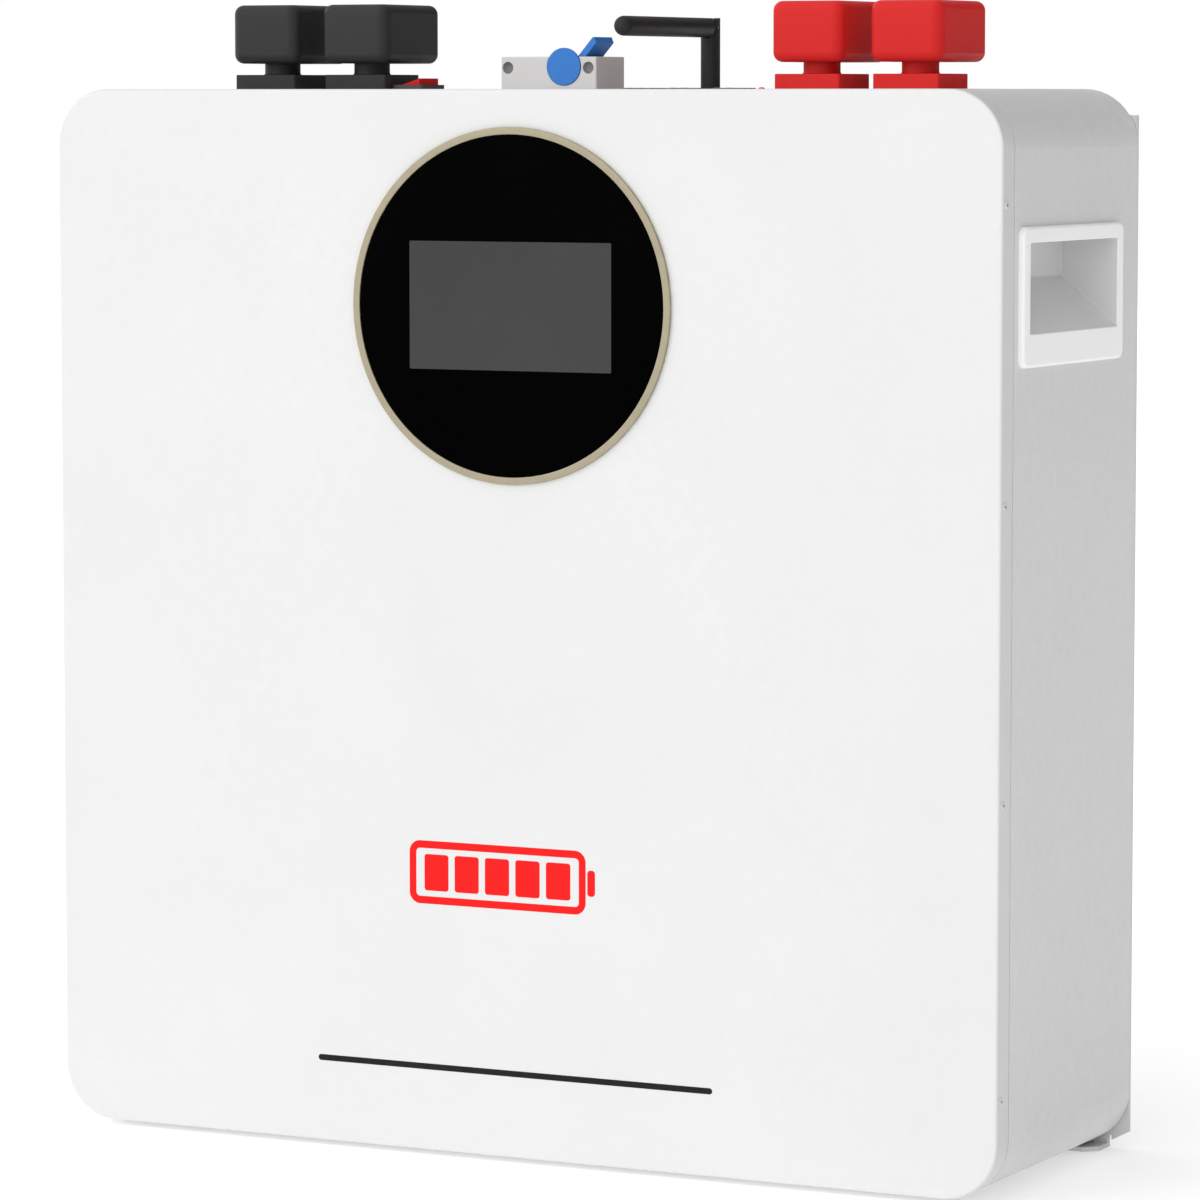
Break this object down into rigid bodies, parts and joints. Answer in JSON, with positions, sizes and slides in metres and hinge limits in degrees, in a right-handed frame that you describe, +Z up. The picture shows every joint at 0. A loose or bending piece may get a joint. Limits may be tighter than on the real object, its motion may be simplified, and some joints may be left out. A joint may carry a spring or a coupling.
{
  "type": "deep cycle battery",
  "caption": "Wall-hung lithium iron phosphate battery: flat white steel case with a round display, stud terminals under caps, breaker, switch, antenna and side grips.",
  "frame": {"origin": "on the wall plane, in the middle of the wall plate's four bolt holes", "axes": "+X to the right seen from the front, +Y back into the wall, +Z up"},
  "size_m": [0.449, 0.1516, 0.49],
  "materials": {
    "bracket_white": "fine powder coat",
    "case_white": "satin powder coat",
    "screw_dark": "black oxide",
    "trim_gold": "anodised champagne, satin",
    "display_black": "gloss, back-printed black",
    "screen_metal": "satin",
    "board_green": "solder mask",
    "zinc": "zinc plated",
    "handle_white": "fine moulded satin",
    "cap_black": "moulded satin",
    "cap_red": "moulded satin",
    "brass": "bright",
    "copper": "bright copper",
    "insulator": "glass-fibre board",
    "breaker_grey": "moulded matte",
    "lever_blue": "moulded satin",
    "switch_black": "moulded matte",
    "rocker_red": "gloss",
    "lens_white": "gloss lens",
    "lens_green": "gloss lens",
    "lens_red": "gloss lens",
    "antenna_black": "matte elastomer skin",
    "cell_blue": "shrink-wrapped film",
    "aluminium": "milled",
    "cable_orange": "silicone jacket"
  },
  "bodies": {
    "bracket": {"wall_plate": "bracket_white", "hanger_hooks": "bracket_white"},
    "case": {"case_tub": "case_white", "front_cover": "case_white", "cover_screws": "screw_dark", "display_ring": "trim_gold", "display_glass": "display_black", "lcd_module": "screen_metal", "display_board": "board_green", "display_standoffs": "zinc", "handle_left": "handle_white", "handle_right": "handle_white", "negative_terminal_bases": "cap_black", "positive_terminal_bases": "cap_red", "terminal_studs": "brass", "contact_washers": "brass", "spring_washers": "zinc", "terminal_nuts": "zinc", "base_screws": "zinc", "inner_insulators": "insulator", "inner_nuts": "zinc", "negative_busbar": "copper", "positive_busbar": "copper", "breaker_body": "breaker_grey", "breaker_pivot_pin": "zinc", "breaker_rivets": "zinc", "breaker_bracket": "zinc", "switch_body": "switch_black", "port_sockets": "switch_black", "port_leds_white": "lens_white", "port_leds_green": "lens_green", "fault_lamp": "lens_red", "comm_board": "board_green", "antenna_nut": "brass", "cell_1": "cell_blue", "cell_2": "cell_blue", "cell_3": "cell_blue", "cell_4": "cell_blue", "cell_5": "cell_blue", "cell_6": "cell_blue", "cell_7": "cell_blue", "cell_8": "cell_blue", "cell_spacers": "insulator", "end_plates": "aluminium", "tie_rods": "zinc", "tie_rod_nuts": "zinc", "cell_links": "aluminium", "cell_tray": "insulator", "bms_heatsink": "aluminium", "bms_board": "board_green", "main_cables": "cable_orange"},
    "cap_negative_outer": {"cap_negative_outer": "cap_black"},
    "cap_negative_inner": {"cap_negative_inner": "cap_black"},
    "cap_positive_inner": {"cap_positive_inner": "cap_red"},
    "cap_positive_outer": {"cap_positive_outer": "cap_red"},
    "breaker_lever": {"breaker_lever": "lever_blue"},
    "switch_rocker": {"switch_rocker": "rocker_red"},
    "antenna_post": {"antenna_post": "antenna_black", "antenna_pin": "zinc"},
    "antenna_arm": {"antenna_arm": "antenna_black"}
  },
  "joints": [
    {"name": "case_lift", "type": "slide", "parent": "bracket", "child": "case", "axis": [0, 0, 1], "range_m": [0, 0.015]},
    {"name": "cap_negative_outer_lift", "type": "slide", "parent": "case", "child": "cap_negative_outer", "axis": [0, 0, 1], "range_m": [0, 0.04]},
    {"name": "cap_negative_inner_lift", "type": "slide", "parent": "case", "child": "cap_negative_inner", "axis": [0, 0, 1], "range_m": [0, 0.04]},
    {"name": "cap_positive_inner_lift", "type": "slide", "parent": "case", "child": "cap_positive_inner", "axis": [0, 0, 1], "range_m": [0, 0.04]},
    {"name": "cap_positive_outer_lift", "type": "slide", "parent": "case", "child": "cap_positive_outer", "axis": [0, 0, 1], "range_m": [0, 0.04]},
    {"name": "breaker_throw", "type": "hinge", "parent": "case", "child": "breaker_lever", "pos_m": [-0.0069, -0.0745, 0.2351], "axis": [0, 1, 0], "range_deg": [-84, 0]},
    {"name": "rocker_tilt", "type": "hinge", "parent": "case", "child": "switch_rocker", "pos_m": [-0.085, -0.0745, 0.2259], "axis": [0, 1, 0], "range_deg": [0, 20]},
    {"name": "antenna_swivel", "type": "hinge", "parent": "case", "child": "antenna_post", "pos_m": [0.038, -0.037, 0.2255], "axis": [0, 0, 1], "range_deg": [-20, 40]},
    {"name": "antenna_fold", "type": "hinge", "parent": "antenna_post", "child": "antenna_arm", "pos_m": [0.038, -0.037, 0.2518], "axis": [-1, 0, 0], "range_deg": [0, 90]}
  ]
}
